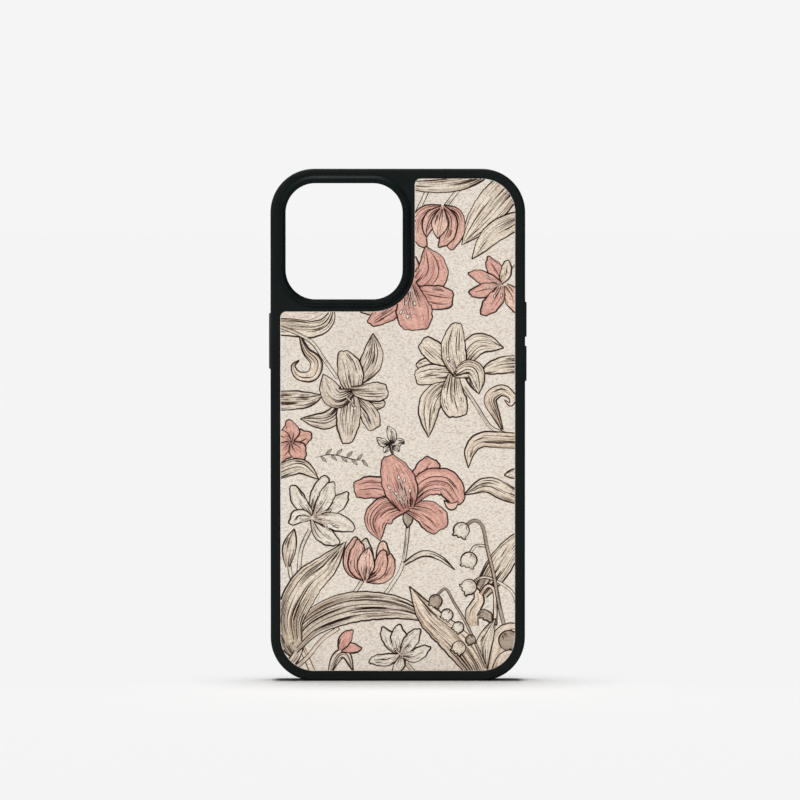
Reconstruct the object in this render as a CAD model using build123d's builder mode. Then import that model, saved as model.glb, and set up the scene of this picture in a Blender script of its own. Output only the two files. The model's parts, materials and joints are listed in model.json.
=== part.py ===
# A protective case for a large touch phone: a soft black bumper frame around a rigid back plate,
# a printed leather panel on the back, a raised guard around the camera opening and three buttons.
# The case stands upright on its bottom edge. X runs to the right as the back is seen, Z runs up,
# and the back faces -Y. The origin is the middle of the case's footprint.
import os

from build123d import *

# The phone that the case holds
phone_width = 78.1
phone_height = 160.8
phone_depth = 7.65
phone_corner_radius = 12.2
phone_clearance = 0.1

# The bumper frame
side_wall = 1.7
rim_width = 3.05
screen_lip = 1.1
screen_lip_height = 1.2
back_edge_radius = 0.8
front_edge_radius = 1.5
lip_edge_radius = 0.5
rim_edge_radius = 0.2

# The layers of the back, from the outside in
leather_inset = 0.15
leather_thickness = 0.7
leather_gap = 0.08
adhesive_thickness = 0.1
adhesive_setback = 0.4
plate_thickness = 1.0
plate_engagement = 0.6
lining_adhesive_thickness = 0.1
lining_thickness = 0.4
lining_setback = 0.6

# The camera opening and its guard
camera_width = 37.5
camera_height = 37.2
camera_corner_radius = 9.5
camera_margin_side = 4.87
camera_margin_top = 4.66
camera_surround = 3.80
notch_end_radius = 2.0
guard_width = 2.4
guard_height = 1.7
guard_outer_bevel = 0.9
guard_inner_bevel = 1.05
guard_edge_radius = 0.12
guard_sleeve = 0.9
guard_clearance = 0.05
lining_camera_margin = 1.6

# The buttons: each one's length, and how far its middle is below the top of the case
side_button_length = 18.0
side_button_drop = 55.3
volume_button_length = 11.3
volume_up_drop = 48.35
volume_down_drop = 62.55
button_width = 3.6
button_proud = 0.55
button_corner_radius = 0.6
button_edge_radius = 0.3
button_clearance = 0.12
button_flange = 0.7
button_flange_thickness = 0.5
button_recess_depth = 0.9

# The openings in the walls
port_width = 13.4
port_depth = 6.4
port_corner_radius = 2.6
grille_width = 15.0
grille_depth = 2.6
grille_offset = 21.5
mute_length = 11.6
mute_width = 5.6
mute_corner_radius = 2.2
mute_drop = 33.6
opening_edge_radius = 0.4

# Sizes that follow from the ones above
case_width = phone_width + 2 * (phone_clearance + side_wall)
case_height = phone_height + 2 * (phone_clearance + side_wall)
outer_corner_radius = phone_corner_radius + phone_clearance + side_wall
panel_recess = leather_inset + leather_thickness + adhesive_thickness
back_stack = panel_recess + plate_thickness + lining_adhesive_thickness + lining_thickness
body_depth = back_stack + phone_depth + phone_clearance + screen_lip_height
total_depth = guard_height + body_depth

# How far each surface is towards the back from the middle of the depth
guard_face = total_depth / 2
back_face = guard_face - guard_height
leather_face = back_face - leather_inset
leather_base = leather_face - leather_thickness
plate_face = back_face - panel_recess
plate_base = plate_face - plate_thickness
lining_top = plate_base - lining_adhesive_thickness
lining_base = lining_top - lining_thickness
pocket_front = lining_base - phone_depth - phone_clearance
front_face = -total_depth / 2
pocket_middle = (lining_base + pocket_front) / 2

# The middle of the camera opening, from the middle of the case
camera_x = -case_width / 2 + camera_margin_side + camera_width / 2
camera_z = case_height / 2 - camera_margin_top - camera_height / 2
notch_x = camera_x + camera_width / 2 + camera_surround
notch_z = camera_z - camera_height / 2 - camera_surround

middle = Plane(origin=(0, 0, case_height / 2), x_dir=(1, 0, 0), z_dir=(0, -1, 0))


def level(height):
    # a sketch plane seen from the back, this far towards the back
    return middle.offset(height)


def wall_plane(side, drop):
    # a sketch plane on the right (1) or left (-1) wall, its x axis up, this far below the top
    origin = (side * case_width / 2, -pocket_middle, case_height - drop)
    return Plane(origin=origin, x_dir=(0, 0, 1), z_dir=(side, 0, 0))


def base_plane(offset_x):
    # a sketch plane on the bottom wall, looking up at it
    return Plane(origin=(offset_x, -pocket_middle, 0), x_dir=(1, 0, 0), z_dir=(0, 0, -1))


def case_outline(inset):
    # the outline of the case, moved in by inset
    RectangleRounded(
        case_width - 2 * inset,
        case_height - 2 * inset,
        outer_corner_radius - inset,
    )


def camera_outline(margin, mode=Mode.ADD):
    # the outline of the camera opening, moved out by margin
    with Locations((camera_x, camera_z)):
        RectangleRounded(
            camera_width + 2 * margin,
            camera_height + 2 * margin,
            camera_corner_radius + margin,
            mode=mode,
        )


def panel_outline(sketch, inset):
    # the outline of the leather panel: the case's outline with a notch around the camera
    case_outline(rim_width + inset)
    corner = (notch_x + inset, notch_z - inset)
    reach_x = notch_x + inset + case_width / 2
    reach_z = case_height / 2 - notch_z + inset
    with Locations((corner[0] - reach_x / 2, corner[1] + reach_z / 2)):
        Rectangle(reach_x, reach_z, mode=Mode.SUBTRACT)
    edge_x = -case_width / 2 + rim_width + inset
    edge_z = case_height / 2 - rim_width - inset
    ends = [(edge_x, corner[1]), (corner[0], edge_z)]
    for end in ends:
        fillet(sketch.vertices().sort_by_distance(end)[0], notch_end_radius)
    inner_corner = sketch.vertices().sort_by_distance(corner)[0]
    fillet(inner_corner, camera_corner_radius + camera_surround + inset)


# Insets from the case's outline, and how deep in the wall the flanges of the buttons start
plate_inset = side_wall - plate_engagement
phone_inset = side_wall + phone_clearance
shoulder_depth = side_wall - button_recess_depth

slot_width = button_width + 2 * button_clearance
slot_radius = button_corner_radius + button_clearance

# Each button's name, its wall (right 1, left -1), its place below the top and its length
buttons = [
    ("side_button", -1, side_button_drop, side_button_length),
    ("volume_up_button", 1, volume_up_drop, volume_button_length),
    ("volume_down_button", 1, volume_down_drop, volume_button_length),
]

os.makedirs("parts", exist_ok=True)


# The soft frame: side walls, the rim and camera surround on the back, and the lip on the front
with BuildPart() as bumper_frame:
    with BuildSketch(level(front_face)):
        case_outline(0)
    extrude(amount=body_depth)
    back_edges = bumper_frame.faces().sort_by(Axis.Y)[0].edges()
    front_edges = bumper_frame.faces().sort_by(Axis.Y)[-1].edges()
    fillet(back_edges, back_edge_radius)
    fillet(front_edges, front_edge_radius)
    with BuildSketch(level(front_face)):
        case_outline(phone_inset + screen_lip)
    extrude(amount=screen_lip_height, mode=Mode.SUBTRACT)
    lip_edges = bumper_frame.faces().sort_by(Axis.Y)[-1].inner_wires().edges()
    fillet(lip_edges, lip_edge_radius)
    with BuildSketch(level(pocket_front)):
        case_outline(side_wall)
    extrude(amount=plate_base - pocket_front, mode=Mode.SUBTRACT)
    with BuildSketch(level(plate_base)):
        case_outline(plate_inset)
    extrude(amount=plate_thickness, mode=Mode.SUBTRACT)
    with BuildSketch(level(plate_face)) as panel_cut:
        panel_outline(panel_cut, 0)
    extrude(amount=panel_recess, mode=Mode.SUBTRACT)
    rim_edges = bumper_frame.faces().sort_by(Axis.Y)[0].inner_wires().edges()
    fillet(rim_edges, rim_edge_radius)
    with BuildSketch(level(plate_face)):
        camera_outline(guard_sleeve + guard_clearance)
    extrude(amount=panel_recess, mode=Mode.SUBTRACT)
    # the charging port and a speaker slot each side of it
    with BuildSketch(base_plane(0)):
        RectangleRounded(port_width, port_depth, port_corner_radius)
    extrude(amount=-phone_inset, mode=Mode.SUBTRACT)
    for side in (-1, 1):
        with BuildSketch(base_plane(side * grille_offset)):
            SlotOverall(grille_width, grille_depth)
        extrude(amount=-phone_inset, mode=Mode.SUBTRACT)
    bottom = bumper_frame.faces().filter_by(Axis.Z).sort_by(Axis.Z)[0]
    fillet(bottom.inner_wires().edges(), opening_edge_radius)
    # the opening for the mute switch
    with BuildSketch(wall_plane(1, mute_drop)):
        RectangleRounded(mute_length, mute_width, mute_corner_radius)
    extrude(amount=-phone_inset, mode=Mode.SUBTRACT)
    right = bumper_frame.faces().filter_by(Axis.X).sort_by(Axis.X)[-1]
    fillet(right.inner_wires().edges(), opening_edge_radius)
    # a slot for each button, with a wider recess behind it for the button's flange
    for button_name, side, drop, length in buttons:
        slot_length = length + 2 * button_clearance
        with BuildSketch(wall_plane(side, drop)):
            RectangleRounded(slot_length, slot_width, slot_radius)
        extrude(amount=-phone_inset, mode=Mode.SUBTRACT)
        with BuildSketch(wall_plane(side, drop).offset(-shoulder_depth)):
            RectangleRounded(
                slot_length + 2 * button_flange,
                slot_width + 2 * button_flange,
                slot_radius + button_flange,
            )
        extrude(amount=-(button_recess_depth + phone_clearance), mode=Mode.SUBTRACT)
bumper_frame.part.label = "bumper_frame"
export_step(bumper_frame.part, "parts/bumper_frame.step")


# The guard: a bevelled ring on the camera surround, with a sleeve that lines the opening
with BuildPart() as camera_guard:
    with BuildSketch(level(back_face)):
        camera_outline(guard_width)
    extrude(amount=guard_height)
    ring_top = camera_guard.faces().sort_by(Axis.Y)[0]
    chamfer(ring_top.edges(), guard_outer_bevel)
    with BuildSketch(level(plate_base)):
        camera_outline(guard_sleeve)
    extrude(amount=back_face - plate_base)
    with BuildSketch(level(plate_base)):
        camera_outline(0)
    extrude(amount=guard_face - plate_base, mode=Mode.SUBTRACT)
    ring_top = camera_guard.faces().sort_by(Axis.Y)[0]
    chamfer(ring_top.inner_wires().edges(), guard_inner_bevel)
    ring_top = camera_guard.faces().sort_by(Axis.Y)[0]
    fillet(ring_top.edges(), guard_edge_radius)
camera_guard.part.label = "camera_guard"
export_step(camera_guard.part, "parts/camera_guard.step")


# The rigid plate, its edge held in a groove all round the frame
with BuildPart() as back_plate:
    with BuildSketch(level(plate_base)):
        case_outline(plate_inset)
        camera_outline(guard_sleeve + guard_clearance, mode=Mode.SUBTRACT)
    extrude(amount=plate_thickness)
back_plate.part.label = "back_plate"
export_step(back_plate.part, "parts/back_plate.step")


# The film of adhesive between the plate and the leather
with BuildPart() as panel_adhesive:
    with BuildSketch(level(plate_face)) as adhesive_cut:
        panel_outline(adhesive_cut, adhesive_setback)
    extrude(amount=adhesive_thickness)
panel_adhesive.part.label = "panel_adhesive"
export_step(panel_adhesive.part, "parts/panel_adhesive.step")


# The leather panel, set a little below the rim
with BuildPart() as leather_panel:
    with BuildSketch(level(leather_base)) as leather_cut:
        panel_outline(leather_cut, leather_gap)
    extrude(amount=leather_thickness)
leather_panel.part.label = "leather_panel"
export_step(leather_panel.part, "parts/leather_panel.step")


# The adhesive under the lining, and the microfibre lining that the phone's back lies on
with BuildPart() as lining_adhesive:
    with BuildSketch(level(lining_top)):
        case_outline(phone_inset + lining_setback)
        camera_outline(lining_camera_margin, mode=Mode.SUBTRACT)
    extrude(amount=lining_adhesive_thickness)
lining_adhesive.part.label = "lining_adhesive"
export_step(lining_adhesive.part, "parts/lining_adhesive.step")

with BuildPart() as lining:
    with BuildSketch(level(lining_base)):
        case_outline(phone_inset + lining_setback)
        camera_outline(lining_camera_margin, mode=Mode.SUBTRACT)
    extrude(amount=lining_thickness)
lining.part.label = "lining"
export_step(lining.part, "parts/lining.step")


# The buttons: a cap that stands out of the wall, and a flange behind it that keeps it in
for button_name, side, drop, length in buttons:
    with BuildPart() as button:
        with BuildSketch(wall_plane(side, drop).offset(-shoulder_depth)):
            RectangleRounded(length, button_width, button_corner_radius)
        extrude(amount=shoulder_depth + button_proud)
        cap_face = button.faces().sort_by(Axis.X)[-1 if side > 0 else 0]
        fillet(cap_face.edges(), button_edge_radius)
        with BuildSketch(wall_plane(side, drop).offset(-shoulder_depth)):
            RectangleRounded(
                length + 2 * button_flange,
                button_width + 2 * button_flange,
                button_corner_radius + button_flange,
            )
        extrude(amount=-button_flange_thickness)
    button.part.label = button_name
    export_step(button.part, f"parts/{button_name}.step")
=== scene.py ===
import json
import math

import bpy
import numpy as np
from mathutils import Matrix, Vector
from mathutils.geometry import delaunay_2d_cdt

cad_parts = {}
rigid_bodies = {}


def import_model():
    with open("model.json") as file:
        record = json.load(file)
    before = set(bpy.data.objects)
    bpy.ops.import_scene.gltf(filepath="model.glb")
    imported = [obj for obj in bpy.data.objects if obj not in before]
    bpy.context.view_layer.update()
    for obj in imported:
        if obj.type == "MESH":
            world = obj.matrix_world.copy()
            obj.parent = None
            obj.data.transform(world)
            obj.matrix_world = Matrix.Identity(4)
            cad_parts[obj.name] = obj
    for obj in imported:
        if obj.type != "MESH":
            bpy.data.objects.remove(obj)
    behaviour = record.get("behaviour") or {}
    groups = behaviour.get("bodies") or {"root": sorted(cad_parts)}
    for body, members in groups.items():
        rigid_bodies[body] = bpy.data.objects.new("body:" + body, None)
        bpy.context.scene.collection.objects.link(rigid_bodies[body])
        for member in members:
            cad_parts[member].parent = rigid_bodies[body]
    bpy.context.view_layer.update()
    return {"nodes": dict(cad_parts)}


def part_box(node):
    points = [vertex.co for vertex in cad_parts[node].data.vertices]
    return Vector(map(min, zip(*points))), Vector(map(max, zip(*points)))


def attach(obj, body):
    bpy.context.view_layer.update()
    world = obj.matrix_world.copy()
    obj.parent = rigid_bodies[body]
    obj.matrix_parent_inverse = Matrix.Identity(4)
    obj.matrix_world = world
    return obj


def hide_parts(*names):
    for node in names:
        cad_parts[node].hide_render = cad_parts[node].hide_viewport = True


# The case stands on its bottom edge, its printed back towards -Y. The print is laid out in millimetres:
# x from the middle of the case, z up from its bottom edge.
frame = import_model()
mm = 0.001
print("frame loaded:", len(frame["nodes"]), "nodes")


# Shader maths as expressions
class Wire:
    def __init__(self, finish, socket):
        self.finish, self.socket = finish, socket

    def calc(self, operation, first, second):
        return self.finish.node("Math", {"operation": operation}, {0: first, 1: second})

    def __add__(self, other):
        return self.calc("ADD", self, other)

    def __radd__(self, other):
        return self.calc("ADD", other, self)

    def __mul__(self, other):
        return self.calc("MULTIPLY", self, other)

    def __rmul__(self, other):
        return self.calc("MULTIPLY", other, self)

    def __sub__(self, other):
        return self.calc("SUBTRACT", self, other)

    def __rsub__(self, other):
        return self.calc("SUBTRACT", other, self)


class Finish:
    def __init__(self, owner, place="Object"):
        self.owner = owner
        owner.use_nodes = True
        self.tree = owner.node_tree
        self.tree.nodes.clear()
        self.place = self.node("TexCoord", {}, {}, place)

    def plug(self, socket, value):
        if isinstance(value, Wire):
            self.tree.links.new(value.socket, socket)
        elif socket.type == "RGBA" and len(value) == 3:
            socket.default_value = (*value, 1.0)
        else:
            socket.default_value = value

    def node(self, kind, settings, sockets, out=0):
        made = self.tree.nodes.new("ShaderNode" + kind)
        for key, value in settings.items():
            setattr(made, key, value)
        for key, value in sockets.items():
            self.plug(made.inputs[key], value)
        return Wire(self, made.outputs[out]) if made.outputs else None

    # noise, in features per metre
    def noise(self, scale, detail=2.0, rough=0.5, place=None):
        return self.node("TexNoise", {}, {"Vector": place or self.place, "Scale": scale,
                                          "Detail": detail, "Roughness": rough}, "Fac")

    def mixColor(self, share, first, second, blend="MIX"):
        return self.node("Mix", {"data_type": "RGBA", "blend_type": blend},
                         {"Factor": share, 6: first, 7: second}, 2)

    def stretch(self, value, low, high, toLow=0.0, toHigh=1.0):
        return self.node("MapRange", {"clamp": True}, {"Value": value, "From Min": low, "From Max": high,
                                                       "To Min": toLow, "To Max": toHigh})

    def bump(self, height, distance, strength=1.0):
        return self.node("Bump", {}, {"Height": height, "Distance": distance, "Strength": strength})

    def surface(self, sockets):
        shader = self.node("BsdfPrincipled", {}, sockets)
        self.node("OutputMaterial", {}, {"Surface": shader})
        return self.owner


def newFinish(name):
    return Finish(bpy.data.materials.new(name))


def linear(red, green, blue):
    def one(value):
        value /= 255
        return value / 12.92 if value <= 0.04045 else ((value + 0.055) / 1.055) ** 2.4
    return one(red), one(green), one(blue)


def dress(node, material):
    mesh = frame["nodes"][node].data
    mesh.materials.clear()
    mesh.materials.append(material)


# The moulded parts: soft frame, camera guard, buttons and the plate inside
mouldings = {
    "frameRubber": {"color": (11, 17, 16), "worn": (21, 27, 26), "rough": 0.52, "specular": 0.10,
                    "texture": 5200, "depth": 0.010 * mm, "bloom": 60},
    "guardPlastic": {"color": (11, 19, 19), "worn": (20, 27, 26), "rough": 0.55, "specular": 0.06,
                     "texture": 6800, "depth": 0.006 * mm, "bloom": 90},
    "buttonPlastic": {"color": (10, 16, 15), "worn": (22, 28, 27), "rough": 0.40, "specular": 0.22,
                      "texture": 6400, "depth": 0.005 * mm, "bloom": 140},
    "platePlastic": {"color": (27, 29, 30), "worn": (38, 40, 41), "rough": 0.50, "specular": 0.35,
                     "texture": 3200, "depth": 0.012 * mm, "bloom": 50},
}


def moulded(name):
    look = mouldings[name]
    finish = newFinish(name)
    stipple = finish.noise(look["texture"], 3.0, 0.62)  # the spark-eroded texture of the mould
    cloud = finish.noise(look["bloom"], 4.0, 0.55)  # handling marks and bloom
    edge = finish.stretch(finish.node("NewGeometry", {}, {}, "Pointiness"), 0.53, 0.66)
    wear = finish.stretch(cloud, 0.42, 0.74) * 0.35 + edge * 0.45
    color = finish.mixColor(wear, linear(*look["color"]), linear(*look["worn"]))
    rough = finish.stretch(cloud, 0.3, 0.7, look["rough"] + 0.07, look["rough"] - 0.05) - edge * 0.06
    return finish.surface({"Base Color": color, "Roughness": rough, "Specular IOR Level": look["specular"],
                           "Normal": finish.bump(stipple, look["depth"], 0.8)})


dress("bumper_frame", moulded("frameRubber"))
dress("camera_guard", moulded("guardPlastic"))
dress("back_plate", moulded("platePlastic"))
buttonFinish = moulded("buttonPlastic")
for button in ("side_button", "volume_up_button", "volume_down_button"):
    dress(button, buttonFinish)

film = {"color": (206, 202, 190), "hazed": (180, 176, 166), "haze": 900, "depth": 0.01 * mm}


def adhesiveFilm():
    finish = newFinish("adhesiveFilm")
    haze = finish.noise(film["haze"], 3.0)
    color = finish.mixColor(haze, linear(*film["color"]), linear(*film["hazed"]))
    return finish.surface({"Base Color": color, "Roughness": finish.stretch(haze, 0.3, 0.7, 0.2, 0.4),
                           "Normal": finish.bump(haze, film["depth"], 0.5)})


filmFinish = adhesiveFilm()
for node in ("panel_adhesive", "lining_adhesive"):
    dress(node, filmFinish)
print("mouldings dressed")


# Outlines of the flat pieces, as rings of (x, z) in millimetres
def arc(center, radius, start, stop, step=0.35):
    count = max(4, int(abs(math.radians(stop - start)) * radius / step))
    turn = np.radians(np.linspace(start, stop, count + 1))
    return np.stack([center[0] + radius * np.cos(turn), center[1] + radius * np.sin(turn)], axis=1)


def nodeBox(node):
    low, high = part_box(node)
    return np.array(low) / mm, np.array(high) / mm


def roundedRing(low, high, radius, step=0.35):
    (x0, z0), (x1, z1) = low, high
    return np.vstack([
        arc((x1 - radius, z0 + radius), radius, -90, 0, step),
        arc((x1 - radius, z1 - radius), radius, 0, 90, step),
        arc((x0 + radius, z1 - radius), radius, 90, 180, step),
        arc((x0 + radius, z0 + radius), radius, 180, 270, step),
    ])


def evenRing(ring, step):
    # points along a closed ring no further apart than step, its own points kept
    out = []
    for here, there in zip(ring, np.roll(ring, -1, axis=0)):
        count = max(1, int(math.ceil(np.hypot(*(there - here)) / step)))
        for k in range(count):
            out.append(here + (there - here) * k / count)
    return np.array(out)


guardLow, guardHigh = nodeBox("camera_guard")
panelLow, panelHigh = nodeBox("leather_panel")
liningLow, liningHigh = nodeBox("lining")
panel = {
    "corner": 10.87,  # radius of the outer corners
    "notch": 13.38,  # radius of the corner that goes round the camera
    "notchEnd": 1.92,  # radius where the notch meets the outer edge
    "surround": 1.48,  # from the camera guard to the notch
    "edge": 0.3,  # rounding of the cut edge
    "pitch": 0.36,  # spacing of the mesh that carries the painted colours
}
notchCorner = (guardHigh[0] + panel["surround"], guardLow[2] - panel["surround"])


def panelRing(inset=0.0):
    x0, z0, x1, z1 = panelLow[0] + inset, panelLow[2] + inset, panelHigh[0] - inset, panelHigh[2] - inset
    nx, nz = notchCorner[0] + inset, notchCorner[1] - inset
    r, n, e = panel["corner"] - inset, panel["notch"] + inset, panel["notchEnd"] - inset
    return np.vstack([
        arc((x1 - r, z0 + r), r, -90, 0),
        arc((x1 - r, z1 - r), r, 0, 90),
        arc((nx + e, z1 - e), e, 90, 180),
        arc((nx - n, nz + n), n, 0, -90),
        arc((x0 + e, nz - e), e, 90, 180),
        arc((x0 + r, z0 + r), r, 180, 270),
    ])


def inside(points, ring):
    x, y = points[:, 0][:, None], points[:, 1][:, None]
    x0, y0 = ring[:, 0], ring[:, 1]
    x1, y1 = np.roll(x0, -1), np.roll(y0, -1)
    crosses = (y0 > y) != (y1 > y)
    with np.errstate(divide="ignore", invalid="ignore"):
        at = (x1 - x0) * (y - y0) / (y1 - y0) + x0
    return (crosses & (x < at)).sum(1) % 2 == 1


def insideMany(points, ring, block=20000):
    return np.concatenate([inside(points[k:k + block], ring) for k in range(0, len(points), block)])


def ringDistance(points, ring):
    a, b = ring, np.roll(ring, -1, axis=0)
    d = b - a
    span = np.maximum((d**2).sum(1), 1e-12)
    rel = points[:, None, :] - a[None]
    f = np.clip((rel * d).sum(2) / span, 0, 1)
    return np.sqrt(((rel - f[:, :, None] * d) ** 2).sum(2)).min(1)


sheets = {
    "bevel": (0, 25, 48, 70, 90),  # where an edge's rings lie on its rounding, in degrees
    "rimPitch": 0.6,  # least spacing of points along an edge
    "rowShare": 0.866,  # height of a row of even-sided triangles
    "gap": 0.6,  # from the edge to the first fill, both as shares of the spacing
    "smoothAngle": 40,
}


# which points lie in the first ring and in none of the others, which are holes
def withinRings(points, rings):
    keep = insideMany(points, rings[0])
    for hole in rings[1:]:
        keep &= ~insideMany(points, hole)
    return keep


# rings of points down a rounded edge: the points, how far each is below the face, and the outermost rings
def edgeRows(ringsAt, spacing, edge):
    points, drops, borders = [], [], []
    for angle in sheets["bevel"]:
        turn = math.radians(angle)
        for outline in ringsAt(edge * (1 - math.cos(turn))):
            ring = evenRing(outline, spacing)
            if angle == 0:
                borders.append(range(len(points), len(points) + len(ring)))
            points += [tuple(p) for p in ring]
            drops += [edge * (1 - math.sin(turn))] * len(ring)
    return points, drops, borders


# staggered rows of points over the box of the outline, kept where they lie within the rings
def fillPoints(outline, rings, pitch):
    (x0, z0), (x1, z1) = outline.min(0), outline.max(0)
    rows = []
    for j, z in enumerate(np.arange(z0 + pitch / 2, z1, pitch * sheets["rowShare"])):
        xs = np.arange(x0 + pitch * (0.5 + 0.5 * (j % 2)), x1, pitch)
        rows.append(np.stack([xs, np.full(len(xs), z)], axis=1))
    grid = np.vstack(rows)
    return grid[withinRings(grid, rings)]


def ringEdges(borders):
    return [(ring[k], ring[(k + 1) % len(ring)]) for ring in borders for k in range(len(ring))]


# triangles that keep the borders, and the points that each of their corners came from
def triangulate(points, borders, outlines):
    flat = [Vector(p) for p in points]
    corners, _, faces, source, _, _ = delaunay_2d_cdt(flat, ringEdges(borders), [], 0, 1e-6)
    corners = np.array([tuple(v) for v in corners])
    faces = np.array([f for f in faces if len(f) == 3])
    return corners, faces[withinRings(corners[faces].mean(1), outlines)], source


# a closed sheet: its shown side at faceY, its back at baseY, its cut edge rounded
def sheetMesh(name, ringsAt, pitch, edge, faceY, baseY):
    outlines = ringsAt(0.0)
    points, drops, borders = edgeRows(ringsAt, max(pitch, sheets["rimPitch"]), edge)
    fill = fillPoints(outlines[0], ringsAt(edge + pitch * sheets["gap"]), pitch)
    points += [tuple(p) for p in fill]
    drops += [0.0] * len(fill)
    face, faceTriangles, source = triangulate(points, borders, outlines)
    drop = np.array([drops[s[0]] if s else 0.0 for s in source])
    newIndex = {old: new for new, olds in enumerate(source) for old in olds}
    rim = [[newIndex[i] for i in ring] for ring in borders]

    # the back is flat and has the rim's points only
    back = face[[i for ring in rim for i in ring]]
    backRim, start = [], 0
    for ring in rim:
        backRim.append(range(start, start + len(ring)))
        start += len(ring)
    _, backTriangles, backSource = triangulate(back, backRim, outlines)
    backTriangles = np.array([[backSource[i][0] for i in f] for f in backTriangles])

    side = 1 if faceY > baseY else -1
    front = np.stack([face[:, 0], faceY - side * drop, face[:, 1]], axis=1)
    rear = np.stack([back[:, 0], np.full(len(back), baseY), back[:, 1]], axis=1)
    count = len(front)
    faces = [tuple(f) for f in faceTriangles[:, ::-side]]
    faces += [tuple(count + i for i in f) for f in backTriangles[:, ::side]]
    for (a, b), (d, c) in zip(ringEdges(rim), ringEdges(backRim)):
        faces.append((a, count + d, count + c, b) if side < 0 else (a, b, count + c, count + d))
    made = newObject(name, (np.vstack([front, rear]) * mm).tolist(), faces)
    made.data.polygons.foreach_set("use_smooth", [True] * len(made.data.polygons))
    made.data.set_sharp_from_angle(angle=math.radians(sheets["smoothAngle"]))
    return made, face


def newObject(name, points, faces):
    mesh = bpy.data.meshes.new(name)
    mesh.from_pydata(points, [], faces)
    mesh.validate()
    made = bpy.data.objects.new(name, mesh)
    bpy.context.scene.collection.objects.link(made)
    return made


# The print: a drawing of overlapping shapes with inked strokes, all in millimetres
inkWidths = {"edge": 0.5, "vein": 0.31, "hatch": 0.17, "fine": 0.115}
inkColors = {"soft": (98, 66, 40), "wine": (112, 50, 36), "dark": (40, 17, 5), "black": (10, 7, 6)}
pinks = ("pink", "blush", "rose", "shell")
tones = {  # the light and the shaded colour of each tint
    "cream": ((240, 232, 219), (190, 176, 157)),
    "beige": ((240, 228, 210), (193, 172, 147)),
    "grey": ((233, 220, 204), (180, 161, 141)),
    "peach": ((240, 224, 205), (186, 159, 134)),
    "pink": ((232, 188, 171), (178, 124, 108)),
    "blush": ((242, 208, 189), (190, 140, 122)),
    "rose": ((230, 180, 165), (176, 118, 104)),
    "stem": ((240, 231, 216), (186, 170, 148)),
    "dusk": ((190, 174, 156), (108, 92, 78)),
    "shell": ((239, 224, 212), (228, 202, 190)),
    "white": ((244, 238, 227), (226, 216, 200)),
}
# half widths at equal steps from base to tip, and how far the tip is rounded
profiles = {
    "leaf": ((0.12, 0.62, 0.98, 0.92, 0.55, 0.0), 0),
    "blade": ((0.55, 0.85, 1.0, 0.9, 0.6, 0.0), 0),
    "strap": ((0.9, 1.0, 1.0, 0.9, 0.62, 0.0), 0),
    "pointed": ((0.24, 0.7, 1.0, 0.96, 0.62, 0.0), 0),
    "blunt": ((0.26, 0.64, 0.94, 1.04, 0.96, 0.62), 0.34),
    "lily": ((0.42, 0.82, 1.0, 0.98, 0.8, 0.46), 0.2),
    "flared": ((0.4, 0.62, 0.84, 1.0, 1.0, 0.74), 0.18),
    "round": ((0.3, 0.68, 0.94, 1.02, 0.96, 0.62), 0.6),
    "cup": ((0.5, 0.92, 1.06, 1.0, 0.78, 0.3), 0.35),
    "stem": ((1.0, 1.0, 1.0, 1.0, 1.0, 1.0), 0),
}


# even steps along a path; columns past the first two go with it
def evenly(path, count):
    run = np.concatenate([[0], np.cumsum(np.hypot(*np.diff(path[:, :2], axis=0).T))])
    want = np.linspace(0, run[-1], count)
    return np.stack([np.interp(want, run, column) for column in path.T], axis=1)


# a smooth line through the points
def smoothPath(points, count):
    p = np.array(points, float)
    if len(p) == 2:
        return p[0] + (p[1] - p[0]) * np.linspace(0, 1, count)[:, None]
    ends = np.vstack([2 * p[0] - p[1], p, 2 * p[-1] - p[-2]])
    u = np.linspace(0, len(p) - 1 - 1e-9, max(count, 60))
    k = u.astype(int)
    f = (u - k)[:, None]
    a, b, c, d = ends[k], ends[k + 1], ends[k + 2], ends[k + 3]
    curve = 2 * b + (c - a) * f + (2 * a - 5 * b + 4 * c - d) * f**2 + (3 * b - a - 3 * c + d) * f**3
    return evenly(curve / 2, count)


def sideways(path):
    d = np.gradient(path, axis=0)
    d /= np.maximum(np.hypot(d[:, 0], d[:, 1]), 1e-9)[:, None]
    return np.stack([-d[:, 1], d[:, 0]], axis=1)


def pathLength(path):
    return float(np.hypot(*np.diff(path, axis=0).T).sum())


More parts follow.
